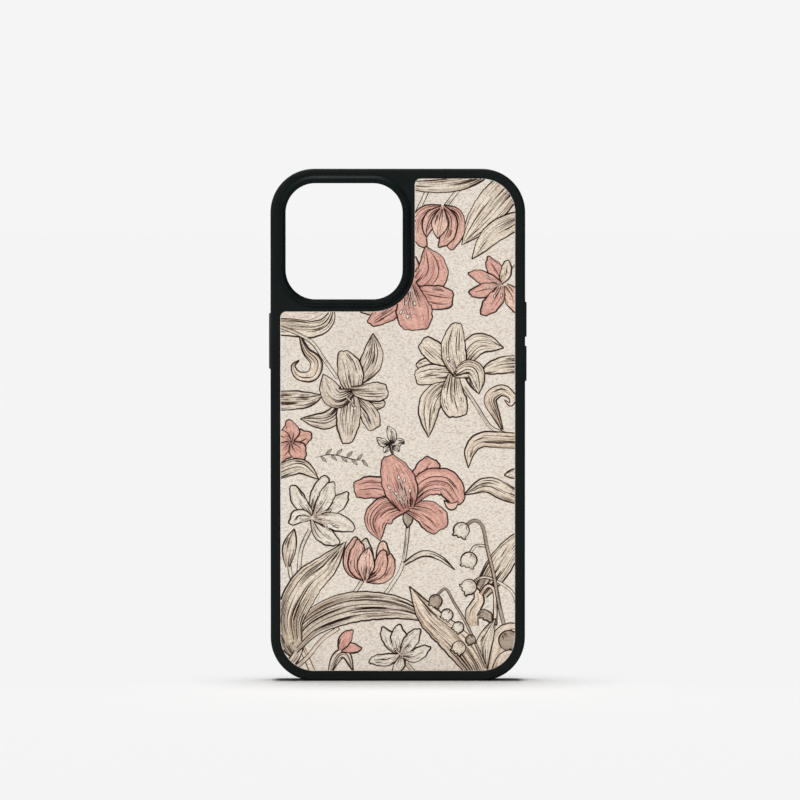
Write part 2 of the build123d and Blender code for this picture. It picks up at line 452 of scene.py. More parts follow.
class Drawing:
    def __init__(self, seed):
        self.shapes = []
        self.rng = np.random.default_rng(seed)

    # a petal, leaf or stem along its midrib; width is half its breadth
    def blade(self, points, width, form="leaf", tone="beige", veins=(0.0,), hatch=14, ruffle=0.0,
              lean=0.0, edge="edge", ink="dark"):
        spine = smoothPath(points, 60)
        length = pathLength(spine)
        spine = evenly(spine, int(np.clip(length / 0.4, 16, 110)))
        side = sideways(spine)
        waves = [self.rng.uniform(0, 6.28) for _ in range(4)]
        nick = self.rng.uniform(-3, 3)
        left, right = self.breadths(len(spine), length, width, profiles[form][0], waves, ruffle, lean)
        a = spine + side * left[:, None]
        b = spine - side * right[:, None]
        cap = profiles[form][1]
        tip = self.tip(a[-1], b[-1], spine, cap * width, cap < 0.3, waves, nick, ruffle)
        rim = np.vstack([a, tip, b[::-1]])
        blade = {"ring": rim, "tone": tone, "spine": spine, "side": side, "left": left, "right": right,
                 "strokes": [], "phase": waves[0]}
        self.shapes.append(blade)
        self.line(rim, edge, ink, press=True)
        self.veins(blade, length, veins, ink)
        self.hatching(blade, length, hatch, ink, "wine" if tone in pinks else "soft")

    # the half breadths to the left and the right of the midrib
    def breadths(self, count, length, width, shares, waves, ruffle, lean):
        t = np.linspace(0, 1, count)
        curve = smoothPath(list(zip(np.linspace(0, 1, len(shares)), shares)), 200)
        half = width * np.interp(t, curve[:, 0], np.maximum(curve[:, 1], 0))
        grow = np.clip(t * 1.6, 0, 1) * np.clip((1 - t) * 8, 0.25, 1)
        turns = 6.28 * max(2.0, length / 4.2)
        reach = []
        for sign, slow, quick, pace in ((1, waves[0], waves[1], 2.3), (-1, waves[2], waves[3], 1.9)):
            frill = np.sin(turns * t + slow) + 0.5 * np.sin(pace * turns * t + quick)
            reach.append(half * (1 + sign * lean) * (1 + ruffle * grow * frill))
        return reach

    # the rounded end between the last points of both sides: narrow ones are ragged, round ones nearly even
    def tip(self, a, b, spine, bulge, narrow, waves, nick, ruffle):
        if not bulge:
            return np.zeros((0, 2))
        f = np.linspace(0, 1, 15)[1:-1, None]
        out = spine[-1] - spine[-2]
        out = out / np.hypot(*out)
        torn = ruffle * (7 if narrow else 2)
        jag = 1 + torn * np.sin(f * 10 + waves[0]) + torn * 0.57 * np.sin(f * 23 + waves[1])
        bow = 2 * np.sqrt(np.maximum(f * (1 - f), 0)) * jag + 1.4 * nick * f * (1 - f) * (2 * f - 1)
        return a * (1 - f) + b * f + out * (bulge * bow)

    # a point of a blade from its share along the midrib and its share across, -1 to 1
    def spot(self, blade, along, across):
        t = np.linspace(0, 1, len(blade["spine"]))
        p = np.stack([np.interp(along, t, blade["spine"][:, i]) for i in (0, 1)], axis=1)
        n = np.stack([np.interp(along, t, blade["side"][:, i]) for i in (0, 1)], axis=1)
        w = np.where(across > 0, np.interp(along, t, blade["left"]), np.interp(along, t, blade["right"]))
        return p + n * (w * across)[:, None]

    def veins(self, blade, length, places, ink):
        rng = self.rng
        for s in places:
            fromBase = rng.random() < 0.65
            start, stop = (0.02, rng.uniform(0.45, 0.92)) if fromBase else (rng.uniform(0.3, 0.5), 0.95)
            along = np.linspace(start, stop, max(6, int(length / 0.5)))
            path = self.spot(blade, along, s + rng.uniform(-0.06, 0.06) * along)
            self.line(path, "vein", ink, taper="out" if fromBase else "both")

    def hatching(self, blade, length, count, ink, hatchInk):
        rng = self.rng
        for _ in range(count):
            s = rng.uniform(-0.92, 0.92)
            if rng.random() < 0.62:
                start, run = rng.uniform(0.0, 0.25), rng.uniform(0.12, 0.42)
            else:
                start, run = rng.uniform(0.42, 0.78), rng.uniform(0.1, 0.3)
            stop = min(start + run, 0.97)
            along = np.linspace(start, stop, max(4, int((stop - start) * length / 0.5)))
            pick = rng.random()
            weight = "vein" if pick < 0.14 else "hatch" if pick < 0.62 else "fine"
            path = self.spot(blade, along, s * (1 - 0.12 * along))
            self.line(path, weight, ink if pick < 0.3 else hatchInk, taper="both")

    # a closed shape from its ring
    def outline(self, ring, tone, edge="edge", ink="dark"):
        ring = np.asarray(ring, float)
        self.shapes.append({"ring": ring, "tone": tone, "strokes": []})
        self.line(np.vstack([ring, ring[:1]]), edge, ink, press=True)

    def line(self, path, weight, ink="dark", taper=None, press=False):
        f = np.linspace(0, 1, len(path))
        w = np.full(len(path), inkWidths[weight] if isinstance(weight, str) else float(weight))
        if taper == "out":
            w = w * np.clip((1 - f) * 1.6, 0.25, 1)
        if taper == "both":
            w = w * np.clip(np.sin(f * math.pi) * 1.5, 0.35, 1)
        if press:  # the pen's pressure
            w = w * (0.84 + 0.34 * np.sin(f * 11 + self.rng.uniform(0, 6)) * np.sin(f * 5.3 + 1))
        self.shapes[-1]["strokes"].append((np.asarray(path, float), w, ink))


# each petal is its midrib, half its breadth and, at times, what sets it off from the others
def flower(d, petals, tone, **common):
    look = {"form": "lily", "tone": tone, "veins": (-0.5, -0.2, 0.12, 0.4), **common}
    for path, width, *apart in petals:
        d.blade(path, width, **{**look, **dict(*apart)})


def stem(d, path, width=0.5, tone="stem"):
    d.blade(path, width, "stem", tone, veins=(), hatch=2, edge=0.27)


# pale filaments with long anthers at their ends
def stamens(d, centre, tips, anther):
    for tip in tips:
        c, e = np.array(centre, float), np.array(tip, float)
        bend = np.array([-(e - c)[1], (e - c)[0]]) * 0.08
        d.blade([c, (c + e) / 2 + bend, e], 0.19, "stem", "white", veins=(), hatch=0, edge=0.17, ink="wine")
        a = math.atan2(*(e - c)[::-1])
        f = np.linspace(0, 2 * math.pi, 14, endpoint=False)
        x, y = 1.9 * anther * np.cos(f), anther * np.sin(f)
        ring = e + np.stack([x * math.cos(a) - y * math.sin(a), x * math.sin(a) + y * math.cos(a)], axis=1)
        d.outline(ring, "white", edge=0.22)


def stigma(d, centre, radius=0.52):
    f = np.linspace(0, 2 * math.pi, 18, endpoint=False)
    d.outline(np.array(centre) + radius * np.stack([np.cos(f), np.sin(f)], axis=1), "white", edge=0.18)


# short dark strokes from the heart of a flower
def throat(d, centre, radius):
    c = np.array(centre, float)
    for _ in range(16):
        a = d.rng.uniform(0, 2 * math.pi)
        u = np.array([math.cos(a), math.sin(a)])
        d.line(np.array([c + u * 0.1, c + u * radius * d.rng.uniform(0.5, 1.3)]), 0.2, "dark", taper="out")


# a nodding bell with three points at its mouth, which faces turn degrees
def bell(d, centre, radius, turn, tone="cream", shadeLines=9):
    f = np.linspace(-130, 130, 26)
    cup = np.stack([np.sin(np.radians(f)), np.cos(np.radians(f))], axis=1) * radius
    mouth = []
    for k in range(3):
        a = radius * (0.62 - 0.62 * k)
        mouth += [(a - radius * 0.1, -radius * 0.98 - 0.05), (a - radius * 0.33, -radius * 0.78)]
    left = np.array([[0.9 * radius, -radius * 0.92]])
    right = np.array([[-0.9 * radius, -radius * 0.92]])
    ring = np.vstack([cup, left, np.array(mouth), right])
    a = math.radians(turn + 90)
    m = np.array([[math.cos(a), -math.sin(a)], [math.sin(a), math.cos(a)]])
    c = np.array(centre, float)
    d.outline(c + ring @ m.T, tone)
    for k in range(shadeLines):
        u = d.rng.uniform(-0.85, 0.85)
        z = np.linspace(0.85 * math.sqrt(1 - u * u), d.rng.uniform(0.1, 0.5), 6)
        line = np.stack([np.full(6, u) * (0.55 + 0.45 * (1 - z)), z], axis=1) * radius
        d.line(c + line @ m.T, "hatch", "soft", taper="out")


def blossom(d, centre, radius, turn, tone="rose", petals=5):
    c = np.array(centre, float)
    for k in range(petals):
        a = math.radians(turn + 360 * k / petals)
        u = np.array([math.cos(a), math.sin(a)])
        d.blade([c + u * 0.06 * radius, c + u * 0.55 * radius, c + u * radius * 0.9], radius * 0.47,
                "round", tone, veins=(-0.3, 0.3), hatch=8, ruffle=0.04)
    for k in range(petals * 2):
        a = math.radians(turn + 36 * k + 8)
        u = np.array([math.cos(a), math.sin(a)])
        d.line(np.array([c, c + u * radius * d.rng.uniform(0.3, 0.55)]), 0.16, "dark", taper="out")


# broad leaf and stems across the top
def topLeaf(d):
    stem(d, [(3.5, 144.5), (9.5, 157.5)], 0.6)
    stem(d, [(14.6, 151.4), (17.5, 155.3), (21, 159.5)], 0.6)
    d.blade([(33, 165.5), (24, 161.4), (14, 159.8), (3, 159.6), (-4, 160.6)], 3.1, "leaf", "grey",
            veins=(-0.35, 0.1), hatch=34, ruffle=0.02)


# two leaves in the top right corner
def cornerLeaves(d):
    d.blade([(40.5, 163), (34.6, 157), (27.6, 148.8), (20.5, 140)], 5.2, "blade", "beige",
            veins=(-0.35, 0.05, 0.4), hatch=46, ruffle=0.015, lean=-0.1)
    d.blade([(42, 149.5), (36, 146.9), (29.8, 143), (23.7, 135.4)], 3.3, "blade", "beige",
            veins=(-0.2, 0.3), hatch=26, ruffle=0.02)


# hanging tulip
def hangingTulip(d):
    petals = [
        ([(14.2, 152), (8.8, 150), (6.6, 145.6), (8, 140.6)], 2.5, {"lean": -0.1}),
        ([(14.4, 152.2), (18.6, 149.8), (19.2, 144.8), (17.2, 139.8)], 2.2),
        ([(14.2, 152), (11, 149), (9.4, 145.2), (9.2, 142.4)], 2.2, {"form": "pointed"}),
        ([(14.4, 152), (16.6, 148.6), (16.4, 144.6), (14.6, 140.6)], 2.4),
        ([(14.2, 151.6), (13.5, 147.2), (12.8, 142)], 2.6, {"form": "pointed", "tone": "blush"}),
    ]
    flower(d, petals, "pink", form="round", veins=(-0.1, 0.2), hatch=16, ruffle=0.025)


# pink lily, half behind the camera
def topLily(d):
    petals = [
        ([(4, 122.5), (-3.5, 118.8), (-12, 118.4)], 1.6, {"form": "pointed", "tone": "blush",
                "hatch": 5}),
        ([(3.5, 126.5), (2.5, 133), (-1.5, 139)], 4.2),
        ([(3, 124), (10, 131), (8.9, 139.6)], 5, {"form": "pointed", "lean": -0.2}),
        ([(3.4, 125.4), (11, 123.4), (17, 122.6)], 3.7, {"form": "flared"}),
        ([(4, 124), (-2, 120), (-8.6, 115.2)], 3.3, {"lean": 0.1}),
        ([(3.6, 127.6), (4.4, 120.6), (5.8, 113.6)], 5.6, {"form": "flared", "lean": 0.08, "hatch": 28}),
    ]
    flower(d, petals, "rose", hatch=18, ruffle=0.03)
    stamens(d, (4.2, 126.6), [(2.6, 121.4), (5.4, 121.2), (1, 118.4), (3.2, 117)], 0.4)


# blossom at the right edge
def edgeBlossom(d):
    petals = [
        ([(33.6, 127.4), (31.6, 131.2), (29.4, 134.6)], 2.3),
        ([(33, 127.6), (34.6, 131), (35, 134)], 1.7, {"tone": "peach"}),
        ([(33.2, 127.4), (28.6, 129), (24.2, 130.8)], 2),
        ([(33, 127), (28.8, 125.6), (24.3, 124.6)], 2.2),
        ([(34.4, 127), (36.6, 124), (38, 119.8)], 2.6, {"tone": "blush"}),
        ([(33.4, 127.2), (31.6, 123), (28, 118.8)], 2.6),
    ]
    stem(d, [(34.6, 130.6), (38.6, 134.4)], 0.2)
    flower(d, petals, "rose", form="round", veins=(-0.1,), hatch=10, ruffle=0.05)
    stamens(d, (33, 127.6), [(28.6, 130), (28.8, 126.2), (31, 123.6), (33.2, 123.8)], 0.3)


# leaf, stem and curl below the camera, on the left
def cameraLeaf(d):
    d.blade([(-41, 118.2), (-34, 117), (-24, 117.8)], 1.9, "pointed", "shell",
            veins=(), hatch=3, edge="fine", ink="soft")
    d.blade([(-41, 114), (-33, 113.4), (-26.8, 113), (-22.4, 115.4), (-20.4, 121)], 2.7, "strap", "beige",
            veins=(-0.3, 0.25), hatch=26, ruffle=0.03)
    d.blade([(-31.4, 111), (-29.4, 106), (-26.2, 102.4), (-27.4, 98.2), (-31.6, 98), (-33.6, 101),
            (-31.6, 103)], 1.9, "leaf", "peach",
            veins=(0.3,), hatch=14, ruffle=0.02)
    stem(d, [(-40, 114.4), (-33.6, 112.2), (-27.6, 108.8), (-24, 103.8), (-19.4, 97.2)], 0.5)


# lily on the left
def leftLily(d):
    d.blade([(-41, 89.7), (-34, 90.2), (-29, 90.4), (-24, 91.7)], 3, "strap", "grey",
            veins=(-0.2, 0.3), hatch=34, ruffle=0.02)
    petals = [
        ([(-13, 95.4), (-8.6, 103.4), (-7.9, 111.6)], 3.4, {"form": "pointed", "lean": -0.1}),
        ([(-13.6, 92.6), (-8.6, 89.2), (-4.6, 89)], 2.2),
        ([(-14.2, 91.8), (-9.6, 86.4), (-7.6, 81.4)], 2.8, {"form": "flared"}),
        ([(-16.4, 91.6), (-22, 84.6), (-31.3, 84.2)], 2.7, {"form": "pointed", "lean": 0.2}),
        ([(-15, 92.8), (-15.9, 84.2), (-16.3, 77)], 3.8, {"hatch": 26}),
        ([(-14.4, 92.6), (-15.4, 100), (-17.6, 105.2)], 4, {"hatch": 24}),
        ([(-15, 93.2), (-9.4, 92.8), (-3.8, 93)], 3, {"form": "flared"}),
        ([(-14.4, 93), (-19.8, 91.6), (-24, 98.6)], 3.4, {"form": "pointed", "lean": 0.15}),
    ]
    flower(d, petals, "grey", hatch=18, ruffle=0.028)
    throat(d, (-14.9, 93), 1.5)
    stamens(d, (-16.6, 91.2), [(-14.4, 88.2), (-13.9, 87.8)], 0.2)
    stigma(d, (-13.7, 87.6))


# lily on the right, with its leaves
def rightLily(d):
    d.blade([(41, 101.8), (33.5, 101.4), (26.2, 99.2)], 2.7, "strap", "beige",
            veins=(-0.1, 0.35), hatch=22, ruffle=0.03)
    stem(d, [(21.2, 94.4), (24.8, 89), (29.4, 82), (34, 79.6), (40, 78)], 0.5)
    d.blade([(33.6, 80.6), (31.4, 85.6), (29.6, 90.6), (33.2, 93.4), (36.6, 91.4), (36.2, 88.8),
            (34, 90.4)], 1.95, "leaf", "peach",
            veins=(-0.25,), hatch=14, ruffle=0.02)
    d.blade([(40.5, 77), (33, 77.4), (26.6, 77.4), (23.2, 74), (22.6, 68.4)], 2.5, "strap", "peach",
            veins=(0.3,), hatch=22, ruffle=0.03)
    petals = [
        ([(20, 100), (25.6, 107.6), (34, 107)], 3.3, {"form": "pointed", "lean": 0.15}),
        ([(13, 100.8), (9.4, 101.8), (6.4, 101.2)], 2),
        ([(18.8, 99), (12.4, 105), (8.2, 108.8)], 3.2, {"form": "flared"}),
        ([(17.4, 97.4), (10.8, 89.4), (9.8, 78.3)], 3.4, {"form": "pointed", "lean": -0.1}),
        ([(19.4, 98.4), (11.6, 98.6), (6.2, 97.4)], 3.1, {"form": "flared"}),
        ([(17.8, 98.6), (17.6, 91.4), (19.3, 85.6)], 4.1, {"form": "flared", "hatch": 26}),
        ([(19.8, 98), (17.8, 106.4), (18.8, 114.2)], 3.9, {"hatch": 26}),
        ([(18.2, 98), (23.4, 99.4), (26, 92.2)], 3.2, {"form": "pointed", "lean": 0.15}),
    ]
    flower(d, petals, "beige", hatch=18, ruffle=0.028)
    throat(d, (18.6, 98.5), 1.5)
    stamens(d, (19.4, 99.6), [(16.6, 103), (16.2, 102.6)], 0.2)
    stigma(d, (16, 103.5))


# small blossom at the left edge
def smallBlossom(d):
    blossom(d, (-34.2, 76.8), 5.9, 20)


# leaves from the left and right edges
def edgeLeaves(d):
    d.blade([(-40.5, 65.6), (-35.4, 68.2), (-30.6, 68.8), (-25.4, 64.8)], 2.5, "blade", "beige",
            veins=(-0.1, 0.35), hatch=20, ruffle=0.02)
    d.blade([(41.5, 67), (37.6, 66.6), (34.1, 66.1)], 1.6, "blade", "beige", veins=(), hatch=8)
    d.blade([(41.5, 57.6), (35, 60.4), (28.4, 63), (21.2, 59.8)], 2.7, "blade", "beige",
            veins=(-0.3, 0.2), hatch=26, ruffle=0.025)


# open cream flower and its bud
def creamFlower(d):
    stem(d, [(-28.2, 48.6), (-31, 42.4), (-31.9, 34)], 0.6)
    stem(d, [(-35, 38.4), (-34.4, 34), (-33, 29)], 0.55)
    d.blade([(-35.4, 36.6), (-34.9, 42.4), (-33.2, 48.9)], 2.1, "pointed", "grey",
            veins=(-0.2, 0.3), hatch=12)
    petals = [
        ([(-27.2, 52.8), (-25.6, 58.8), (-23.6, 64.4)], 2.6),
        ([(-26.6, 52.6), (-21, 55.8), (-17, 59)], 2.5),
        ([(-27.4, 52.8), (-31.4, 57.4), (-33.4, 61.6)], 2.2),
        ([(-27.6, 52.4), (-31.6, 53), (-33.6, 51.2)], 2.1),
        ([(-27.4, 52), (-24.4, 47.6), (-20.4, 44.8)], 2.6),
        ([(-26.8, 53), (-23.4, 58), (-21.6, 62.6)], 2.4),
        ([(-26.8, 52.2), (-21, 51.4), (-15.4, 49.6)], 2.7),
    ]
    flower(d, petals, "cream", form="round", veins=(-0.05,), hatch=18, ruffle=0.04)
    stamens(d, (-26.8, 52.4), [(-24.6, 57.4), (-21.8, 54.8), (-20.6, 50.2), (-22.4, 48.8)], 0.3)


# large pink lily in the middle, on its stem
def centreLily(d):
    stem(d, [(3.4, 52.6), (2.8, 44.6), (1.2, 36.4), (-2.4, 30.2), (-5.6, 26)], 0.55)
    d.blade([(2, 37.6), (8, 40.9), (13.4, 39.6), (18.4, 35.6)], 0.9, "blade", "stem",
            veins=(0.2,), hatch=4)
    d.blade([(3.3, 54.6), (3.3, 52.6), (3.2, 49.8)], 1.55, "cup", "dusk", veins=(), hatch=8)
    petals = [
        ([(3.6, 57), (7.6, 64.6), (11.2, 70.6)], 3.7, {"form": "flared"}),
        ([(2.6, 57.2), (-5.8, 62), (-13.4, 61.6)], 3.4, {"form": "flared"}),
        ([(3, 55.8), (9.4, 53.4), (13.6, 49.2)], 4.4, {"form": "flared", "lean": 0.08}),
        ([(3.6, 56), (-3.4, 55.6), (-7.2, 51.4), (-5.6, 45)], 4.4, {"form": "pointed", "hatch": 28,
                "lean": 0.1}),
        ([(2.8, 55.8), (8.8, 62.8), (15.4, 63.2), (19.2, 58)], 4.1, {"form": "blunt", "lean": 0.1}),
        ([(3, 55.2), (0.4, 63.6), (-3, 71.2)], 5.4, {"hatch": 30}),
    ]
    flower(d, petals, "rose", hatch=22, ruffle=0.03)
    d.blade([(19.4, 57.6), (17.2, 56), (14.8, 58)], 1.1, "leaf", "blush", veins=(), hatch=4)
    throat(d, (2.6, 57.6), 2)
    stamens(d, (2.6, 56.8), [(-2.8, 62.1), (-0.6, 60.3), (0.3, 65.5), (2.1, 64.5), (3.9, 61.1)], 0.4)


# upright tulip
def uprightTulip(d):
    stem(d, [(-11, 32.8), (-14.4, 27.6), (-17, 23.4)], 0.55)
    petals = [
        ([(-10.6, 32.6), (-14.8, 35.6), (-15.4, 40), (-13.6, 45)], 2),
        ([(-9.8, 33), (-5.2, 36.6), (-4.8, 43.6)], 2.2, {"tone": "blush"}),
        ([(-10.2, 33), (-9.8, 38.6), (-10.6, 44.4)], 2, {"tone": "grey"}),
        ([(-10.2, 32.4), (-4.6, 34.2), (-2.4, 39)], 2.5),
        ([(-10.4, 32.4), (-13.4, 36.8), (-12.4, 43.6)], 2.5),
        ([(-10.4, 32.2), (-6.2, 35.4), (-4.8, 40.8)], 2.1),
        ([(-10.5, 32.2), (-10.2, 37.8), (-9.2, 43)], 2.7, {"form": "pointed", "tone": "blush"}),
    ]
    flower(d, petals, "pink", form="round", veins=(-0.1, 0.25), hatch=18, ruffle=0.025)


# lower left: crossing stems, the small corner leaves, then the two large leaves
def largeLeaves(d):
    d.blade([(-40, 30), (-37.8, 20), (-36, 12), (-32, 6)], 2.4, "blade", "dusk",
            veins=(-0.3, 0.3), hatch=26)
    stem(d, [(-31.6, 13), (-29.6, 8), (-26.8, 1.5)], 0.9, "peach")
    stem(d, [(-34.4, 3), (-29, 7.6), (-24.6, 13), (-19, 17)], 0.62, "peach")
    d.blade([(-37.5, 3), (-33.4, 7), (-29.8, 13.4)], 1.4, "blade", "grey", veins=(0.1,), hatch=10)
    d.blade([(-34.4, 10.8), (-27.4, 18.6), (-16, 23.4), (-3, 23.9), (6, 21.6), (12, 17.6)], 4.9,
            "blade", "grey",
            veins=(-0.55, -0.2, 0.1, 0.45), hatch=74, ruffle=0.018)
    d.blade([(-33.6, 12.4), (-34.4, 20.6), (-29.4, 31), (-22.6, 37.4), (-16.6, 44.8)], 5, "blade",
            "beige",
            veins=(-0.5, -0.1, 0.25, 0.55), hatch=70, ruffle=0.015)


# pink bud on its curled stalk
def pinkBud(d):
    d.blade([(-22.6, 1), (-19.6, 7.6), (-16.6, 8.4), (-14.2, 2.8)], 1.5, "leaf", "grey",
            veins=(0.2,), hatch=10)
    petals = [
        ([(-18.4, 9.8), (-15.6, 10.6), (-12.8, 10.2)], 1.6),
        ([(-18.6, 10), (-17, 13.2), (-15.6, 15.4)], 1.9),
    ]
    flower(d, petals, "rose", form="round", veins=(), hatch=6, ruffle=0.03)


# open flower at the bottom
def bottomFlower(d):
    stem(d, [(2.8, 5.6), (6.6, 0.8)], 0.6, "peach")
    petals = [
        ([(1, 8.4), (-2, 12.6), (-4.4, 15.6)], 2.3),
        ([(1, 8.4), (0.4, 13), (0, 16.4)], 2.5),
        ([(1, 8.2), (-3.4, 6.8), (-8, 6.6)], 1.9),
        ([(1.2, 8.2), (0.8, 5.6), (-0.8, 3.4)], 1.6),
        ([(1.2, 8.4), (4, 12.6), (6, 15.6)], 2.2),
        ([(1.4, 8), (5.4, 8), (9, 10.4)], 2),
    ]
    flower(d, petals, "cream", form="round", veins=(-0.05,), hatch=16, ruffle=0.045)
    stamens(d, (1.2, 8.4), [(-2, 11.8), (-0.8, 10.2), (3.8, 11.2), (4.6, 9.4)], 0.26)


# right edge: the hatched leaf, tall bells, pale curls
def tallBells(d):
    d.blade([(26.6, 28), (31.6, 35.6), (36.8, 43.4), (41, 49)], 4, "blade", "beige",
            veins=(-0.5, 0, 0.4), hatch=50, ruffle=0.02)
    d.blade([(24, 17.6), (23.8, 22), (26, 26), (24.6, 30.6)], 2, "strap", "peach",
            veins=(), hatch=4, ruffle=0.05)
    d.blade([(26.6, 27.8), (29, 30.6), (31.2, 28), (31.2, 18)], 0.6, "stem", "peach",
            veins=(), hatch=2)
    stem(d, [(23.2, 30.8), (26.8, 33.2), (31, 32.4), (36.6, 28.6), (38.8, 22)], 0.42, "stem")
    stem(d, [(22.4, 39.4), (24.8, 43.2), (28.2, 43.4)], 0.42)
    stem(d, [(21.4, 49.6), (24.6, 51.6), (27.2, 49.6), (28.6, 43), (30.9, 33.4), (33, 22.4),
            (35.4, 13.4)], 0.52, "dusk")
    bell(d, (20.4, 48.4), 2.55, -110)
    bell(d, (22.8, 38.8), 2.6, -105)
    bell(d, (22.8, 30.2), 2.5, -150)


# lower right corner
def lowBells(d):
    d.blade([(30.6, 2), (32, 9.6), (35, 15.6), (40.5, 17.6)], 3.6, "strap", "peach",
            veins=(), hatch=8, ruffle=0.03)
    bell(d, (35.6, 13), 3.2, -60, "dusk", 16)
    d.blade([(31, 0), (33.4, 6.4), (36.4, 8.4), (41, 7.4)], 1.9, "strap", "peach", veins=(), hatch=5)
    d.blade([(28.4, 3), (27.4, 10), (29, 15.2), (31.4, 20.2)], 2.6, "leaf", "beige",
            veins=(0, 0.35), hatch=24)
    d.blade([(25.6, 20.6), (27.8, 21.6), (29.6, 19.8)], 1.5, "round", "dusk",
            veins=(), hatch=12, ruffle=0.12)
    d.blade([(27.4, -2), (24, 5.6), (17.6, 13.6), (10, 20.6), (3.7, 30.4)], 4.6, "blade", "peach",
            veins=(-0.5, -0.1, 0.3), hatch=56, ruffle=0.03)
    stem(d, [(12.4, 27.4), (15.4, 29.6), (18, 25.2), (22.4, 17.6), (28.4, 4.2)], 0.36, "dusk")
    bell(d, (12.1, 25.6), 2.1, -110, "dusk")
    bell(d, (15.8, 21.2), 1.9, -120)
    bell(d, (19.4, 17.2), 1.8, -130)
    bell(d, (23.4, 13.2), 1.6, -70, "dusk")
    bell(d, (19.6, 10.6), 2.2, -125, "beige")


def butterfly(d, centre):
    x, z = centre
    wings = [
        ([(0.6, -0.6), (3, 0.4), (4.4, -0.2)], 1.25, 7),
        ([(-0.3, -0.4), (-2.6, 0.2), (-4.6, 1.8)], 1.3, 9),
        ([(0.5, -0.3), (0.3, 2.6), (-1, 5.6)], 1.5, 12),
        ([(0, -1), (-1.6, -2), (-2.2, -3.2)], 0.95, 6),
        ([(0.5, -1), (2, -1.8), (2.6, -2.8)], 0.85, 6),
    ]
    for path, width, hatch in wings:
        d.blade([(x + px, z + pz) for px, pz in path], width, "pointed", "cream", veins=(-0.4, 0, 0.4),
                hatch=hatch,
                ruffle=0.06, edge=0.3, ink="black")
    d.blade([(x - 0.2, z + 1), (x, z - 0.8), (x + 0.5, z - 3.4)], 0.34, "round", "dusk", veins=(),
            hatch=3, ink="black")


def flourish(d, start, length):
    x0, z0 = start
    f = np.linspace(0, 1, 30)
    spine = np.stack([x0 + length * f, z0 + 0.9 * np.sin(f * 5.2)], axis=1)
    for k in range(9):
        p = spine[3 + k * 3]
        side = 1 if k % 2 else -1
        d.blade([tuple(p), (p[0] + 1, p[1] + side * 1), (p[0] + 1.9, p[1] + side * 2)], 0.42, "leaf",
                "dusk", veins=(), hatch=0, edge=0.2, ink="black")
    d.line(spine, 0.3, "black", taper="both")


# the whole print, back shapes first
def drawPrint(d):
    for plant in (topLeaf, cornerLeaves, hangingTulip, topLily, edgeBlossom, cameraLeaf, leftLily, rightLily,
                  smallBlossom, edgeLeaves, creamFlower, centreLily, uprightTulip, largeLeaves, pinkBud,
                  bottomFlower, tallBells, lowBells):
        plant(d)
    butterfly(d, (-2.2, 76.4))
    flourish(d, (-26.4, 71.8), 16)


# Painting: the tints go onto the leather's points, back shapes first
def softStep(value, low, high):
    f = np.clip((value - low) / (high - low), 0, 1)
    return f * f * (3 - 2 * f)


def smoothNoise(points, size, seed):
    # a few crossed waves, enough for the mottling of a wash
    rng = np.random.default_rng(seed)
    total = np.zeros(len(points))
    for _ in range(9):
        turn, phase, pace = rng.uniform(0, 6.28), rng.uniform(0, 6.28), rng.uniform(0.6, 1.7)
        across = points[:, 0] * math.cos(turn) + points[:, 1] * math.sin(turn)
        total += np.sin(across * pace * 6.28 / size + phase)
    return total / 4.5


washing = {
    "bleed": 0.24,  # how softly a wash ends
    "mottle": ((3.1, 5, 0.07), (1.1, 6, 0.05)),  # size, seed and depth of the unevenness
    "roundShade": (0.15, 0.5, 0.25),  # round shapes: everywhere, towards the rim, to the lower right
    "base": 0.75,  # blades: at the base
    "midrib": 0.26,
    "sides": (0.34, 0.14),
    "streaks": 0.36,
    "tip": 0.2,
    "least": 0.02,
}


# 0 in the light parts of a shape, 1 in the shaded ones
def washShade(shape, points):
    if "spine" not in shape:
        ring = shape["ring"]
        middle = ring.mean(0)
        radius = np.hypot(*(ring - middle).T).max()
        rel = (points - middle) / radius
        least, toRim, toCorner = washing["roundShade"]
        value = least + toRim * softStep(np.hypot(rel[:, 0], rel[:, 1]), 0.45, 1.0)
        return value + toCorner * softStep(rel[:, 0] - rel[:, 1], 0.1, 1.1)
    spine, side = shape["spine"], shape["side"]
    near = ((points[:, None, :] - spine[None]) ** 2).sum(2).argmin(1)
    t = near / (len(spine) - 1)
    off = ((points - spine[near]) * side[near]).sum(1)
    half = np.where(off > 0, shape["left"][near], shape["right"][near])
    s = np.clip(off / np.maximum(half, 0.05), -1.2, 1.2)
    streak = np.sin(s * 9.5 + shape["phase"] * 3 + 2.2 * np.sin(t * 3 + shape["phase"]))
    streak = streak * np.sin(s * 4.1 + t * 2.6 + shape["phase"] * 2)
    value = washing["base"] * np.exp(-t / 0.2)
    value += washing["midrib"] * np.exp(-((s / 0.16) ** 2)) * (1 - 0.5 * t)
    value += washing["sides"][0] * softStep(s, 0.4, 1.0) + washing["sides"][1] * softStep(-s, 0.6, 1.0)
    return value + washing["streaks"] * streak + washing["tip"] * softStep(t, 0.84, 1.0) + washing["least"]


def paint(drawing, points, ground):
    colors = np.tile(np.array(linear(*ground)), (len(points), 1))
    mottle = sum(smoothNoise(points, size, seed) * depth for size, seed, depth in washing["mottle"])
    for shape in drawing.shapes:
        ring = shape["ring"]
        low, high = ring.min(0) - 0.2, ring.max(0) + 0.2
        near = np.where(((points > low) & (points < high)).all(1))[0]
        if not len(near):
            continue
        spot = points[near]
        within = inside(spot, ring)
        depth = ringDistance(spot, ring) * np.where(within, 1, -1)
        cover = np.clip(0.5 + depth / washing["bleed"], 0, 1)
        near, spot, cover = near[cover > 0], spot[cover > 0], cover[cover > 0]
        if not len(near):
            continue
        share = np.clip(washShade(shape, spot) + mottle[near], 0, 1)[:, None]
        light, dark = (np.array(linear(*c)) for c in tones[shape["tone"]])
        wash = light * (1 - share) + dark * share
        colors[near] = colors[near] * (1 - cover[:, None]) + wash * cover[:, None]
    return colors


